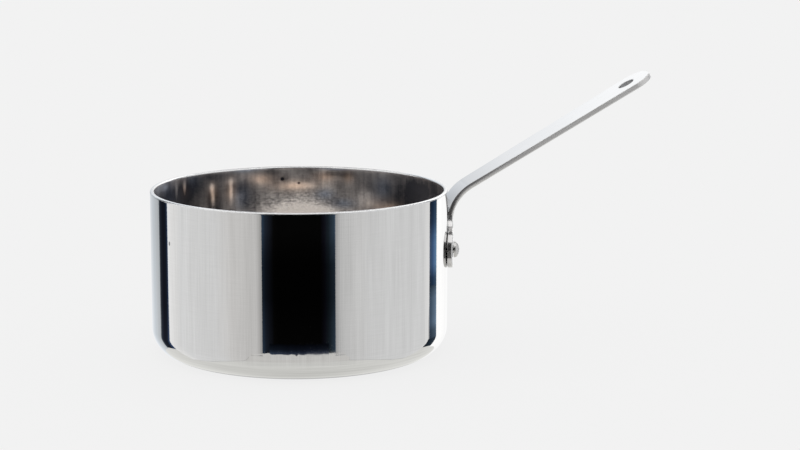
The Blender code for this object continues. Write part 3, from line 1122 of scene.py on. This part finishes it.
# The backdrop and the table's rim: degrees from the camera's side, colour
LEFT_BACK = [
    (-172, BACK_COLOUR),
    (-159, (0.79, 0.82, 0.86)),
    (-150, (0.7, 0.755, 0.805)),
    (-140, (0.65, 0.685, 0.72)),
    (-133.6, (0.57, 0.6, 0.63)),
]
RIGHT_BACK = [
    (128.3, grey(1.45)),
    (131, grey(1.5)),
    (142, grey(1.39)),
    (154, grey(1.23)),
    (170, grey(1.0)),
    (188, BACK_COLOUR),
]
TABLE_RIM = [
    (-172, TABLE_COLOUR), (-60, TABLE_COLOUR), (-40, TABLE_FRONT_COLOUR),
    (40, TABLE_FRONT_COLOUR), (60, TABLE_COLOUR), (188, TABLE_COLOUR),
]


def level_stops(low, stops):
    """Stops that share the height of their lower edge."""
    return [(turn, colour, low) for turn, colour in stops]


def even(top):
    """The rises of a card that is equally bright up to this height."""
    return [(1, 0, 1), (0, top, 1)]


def make_flag(glow):
    """The black flag in front, its soft foot, and the pale board behind both."""
    flag_rises = [
        (1, 0, 1.9), (0, -0.24, 1.4), (0, -0.21, 0.8), (0, -0.17, 0.9), (0, -0.15, 1.5), (0, -0.13, 2.4),
        (0, CARD_TOP, 2.4),
    ]
    foot_rises = [(1, 0.0018, 2.2), (1, 0.0045, 1), (1, 0.0075, 0.35), (0, FLAG_FADE, 0.08)]
    board = [(-BOARD_TURN, BOARD_COLOUR), (BOARD_TURN, BOARD_COLOUR)]
    card("black_flag", glow, FLAG, flag_rises)
    card("flag_foot", glow, level_stops(FLAG_FOOT, FLAG_FOOT_STOPS), foot_rises, CARD_FRONT)
    card("front_board", glow, level_stops(BOARD_FOOT, board), even(FLAG_FOOT), CARD_BACK)


def make_panels(glow):
    """The pale panels at both sides, with thin dark lines where they end."""
    left = [(turn, grey(level, blue), low) for turn, level, blue, low in LEFT_PANEL]
    left_inner = [(turn, grey(level, WARMTH), FLAG_FOOT) for turn, level in LEFT_INNER_PANEL]
    right_inner = [(turn, grey(level), FLAG_FOOT) for turn, level in RIGHT_INNER_PANEL]
    right = [(turn, grey(level, blue), low) for turn, level, blue, low in RIGHT_PANEL]
    card("left_panel", glow, left, even(CARD_TOP))
    card("left_inner_panel", glow, left_inner, even(CARD_TOP))
    card("right_inner_panel", glow, right_inner, even(CARD_TOP))
    card("right_panel", glow, right, even(CARD_TOP))
    edge = [(1, -EDGE_LINE, EDGE_BRIGHTNESS), (1, EDGE_LINE, EDGE_BRIGHTNESS)]
    card("left_panel_edge", glow, left[:-1], edge, CARD_FRONT)
    card("right_panel_edge", glow, right[1:], edge, CARD_FRONT)
    shelf = [(1, -EDGE_LINE / 2, SHELF_BRIGHTNESS), (1, 0, SHELF_BRIGHTNESS)]
    card("left_shelf", glow, left_inner, shelf, CARD_FRONT)
    card("right_shelf", glow, right_inner, shelf, CARD_FRONT)


def make_gaps(glow):
    """The dark gaps between the panels and the backdrop; the right one is banded."""
    left_rises = [(1, 0, 1.7), (0, -0.28, 1.5), (0, -0.24, 1), (0, CARD_TOP, 1)]
    right_rises = [
        (0, GAP_MIDDLE, 0.5), (0, -0.207, 0.6), (0, -0.198, 1.2), (0, -0.19, 1.6), (0, -0.165, 1.55),
        (0, -0.155, 1.25), (0, -0.14, 0.6), (0, -0.119, 0.4), (0, CARD_TOP, 0.3),
    ]
    foot_rises = [
        (1, 0, 0.2), (0, -0.3, 0.25), (0, -0.272, 0.62), (0, -0.262, 1.15), (0, -0.254, 1.05),
        (0, -0.232, 0.95), (0, -0.224, 0.7), (0, GAP_MIDDLE, 0.42),
    ]
    right = [(turn, colour, GAP_FOOT) for turn, colour, foot_colour in RIGHT_GAP]
    foot = [(turn, foot_colour, GAP_FOOT) for turn, colour, foot_colour in RIGHT_GAP]
    card("left_gap", glow, level_stops(GAP_FOOT, LEFT_GAP), left_rises, CARD_BACK)
    card("right_gap", glow, right, right_rises, CARD_BACK)
    card("right_gap_foot", glow, foot, foot_rises, CARD_BACK)


def make_backdrop(glow):
    """The pale backdrop's two halves, brighter towards the top."""
    left_rises = [
        (1, 0, 1.2), (0, -0.28, 1.15), (0, -0.15, 1), (0, 0.1, 0.92), (0, 0.24, 1.02), (0, 0.42, 1.25),
        (0, 0.5, 1.45), (0, CARD_TOP, 1.5),
    ]
    right_rises = [
        (1, 0, 1), (0, 0.1, 1), (0, 0.24, 1.05), (0, 0.45, 1.2), (0, 0.55, 1.4), (0, CARD_TOP, 1.4),
    ]
    card("left_back", glow, level_stops(BACK_FOOT, LEFT_BACK), left_rises)
    card("right_back", glow, level_stops(BACK_FOOT, RIGHT_BACK), right_rises)


def make_surroundings(glow):
    """The ceiling, the table with its rim and its middle darkened as painted shadow, and the dark ring of
    painted shadow where the pan stands.
    """
    disc("overhead", glow, CARD_TOP, TABLE_RADIUS, OVERHEAD_COLOUR, OVERHEAD_COLOUR)
    disc("table", glow, TABLE_LEVEL, TABLE_RADIUS, TABLE_COLOUR, TABLE_SHADOW_COLOUR)
    disc("contact_shadow", glow, CONTACT_LEVEL, CONTACT_RADIUS, *CONTACT_SHADOW_COLOURS)
    card("table_rim", glow, level_stops(TABLE_LEVEL, TABLE_RIM), even(FLAG_FOOT), TABLE_RADIUS)


def make_ceiling_shade(glow):
    """A darker stretch of the ceiling behind the pan."""
    turn = Matrix.Rotation(CAMERA_SIDE + math.pi, 3, "Z")
    near, far = SHADE_REACH
    corners = [(near, -SHADE_WIDTH), (far, -SHADE_WIDTH), (far, SHADE_WIDTH), (near, SHADE_WIDTH)]
    verts = [turn @ Vector((out, side / 2, SHADE_LEVEL)) for out, side in corners]
    card_mesh("ceiling_shade", glow, verts, [(0, 1, 2, 3)], [SHADE_COLOUR] * 4)


def make_cards():
    """What the metal reflects: a black flag in front, pale panels beside it, dark gaps and a backdrop."""
    glow = glow_material()
    make_flag(glow)
    make_panels(glow)
    make_gaps(glow)
    make_backdrop(glow)
    make_surroundings(glow)
    make_ceiling_shade(glow)


def make_world():
    world = bpy.data.worlds.new("studio")
    bpy.context.scene.world = world
    world.use_nodes = True
    background = world.node_tree.nodes["Background"]
    background.inputs["Color"].default_value = BACKGROUND_COLOUR
    background.inputs["Strength"].default_value = 1.0


def paper():
    """The floor's pale paper, on which the camera sees little of the pan's shadow."""
    material, tree = new_material("paper")
    shader = tree.nodes["Principled BSDF"]
    shader.inputs["Base Color"].default_value = FLOOR_COLOUR
    shader.inputs["Roughness"].default_value = 1.0
    shader.inputs["Specular IOR Level"].default_value = 0.0
    pale = node(tree, "ShaderNodeEmission", {"Color": BACKGROUND_COLOUR})
    seen = node(tree, "ShaderNodeLightPath").outputs["Is Camera Ray"]
    share = times(tree, seen, 1 - SHADOW_SHARE)
    mixed = node(tree, "ShaderNodeMixShader", {0: share, 1: shader.outputs[0], 2: pale.outputs[0]})
    tree.links.new(mixed.outputs[0], tree.nodes["Material Output"].inputs["Surface"])
    return material


def make_floor():
    half = FLOOR_SIZE / 2
    corners = [(-half, -half, 0), (half, -half, 0), (half, half, 0), (-half, half, 0)]
    mesh = bpy.data.meshes.new("floor")
    mesh.from_pydata(corners, [], [(0, 1, 2, 3)])
    mesh.materials.append(paper())
    floor = add_object("floor", mesh)
    floor.visible_glossy = False


def make_sun():
    light = bpy.data.lights.new("soft_light", "SUN")
    light.energy = SUN_STRENGTH
    light.angle = SUN_SPREAD
    sun = add_object("soft_light", light)
    sun.visible_glossy = False


def make_camera():
    data = bpy.data.cameras.new("camera")
    data.lens = LENS
    data.sensor_width = SENSOR
    camera = add_object("camera", data)
    turn = Matrix.Rotation(-CAMERA_YAW, 4, "Z") @ Matrix.Rotation(QUARTER - CAMERA_PITCH, 4, "X")
    camera.matrix_world = Matrix.Translation(CAMERA_PLACE) @ turn @ Matrix.Rotation(CAMERA_ROLL, 4, "Z")
    bpy.context.scene.camera = camera


def make_pieces():
    """Each finished piece with the node that it stands for and its material slot."""
    rivets = {"left": RIVET_TURN, "right": -RIVET_TURN}
    shank_holes = [shank_hole_cutter(side + "_hole", turn) for side, turn in rivets.items()]
    pan = make_pan(shank_holes)
    for material in (brushed_floor(), satin_wall(), polished_lip(), polished_wall(), spun_base()):
        pan.data.materials.append(material)
    handle = make_handle(shank_holes)
    for material in (polished_strap(), ground_edge()):
        handle.data.materials.append(material)
    pieces = [(pan, "pan_body", "pan_steel"), (handle, "handle", "handle_steel")]
    rivet_steel = rivet_metal()
    for side, turn in rivets.items():
        rivet = make_rivet(side + "_rivet", turn)
        rivet.data.materials.append(rivet_steel)
        pieces.append((rivet, "rivet_" + side, "rivet_steel"))
    for cutter in shank_holes:
        bpy.data.objects.remove(cutter)
    return pieces


def main():
    make_camera()
    make_world()
    make_floor()
    make_sun()
    make_cards()
    for piece, cad_node, slot in make_pieces():
        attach(piece, "root")
        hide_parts(cad_node)
    bpy.context.scene.view_settings.view_transform = "Standard"


main()
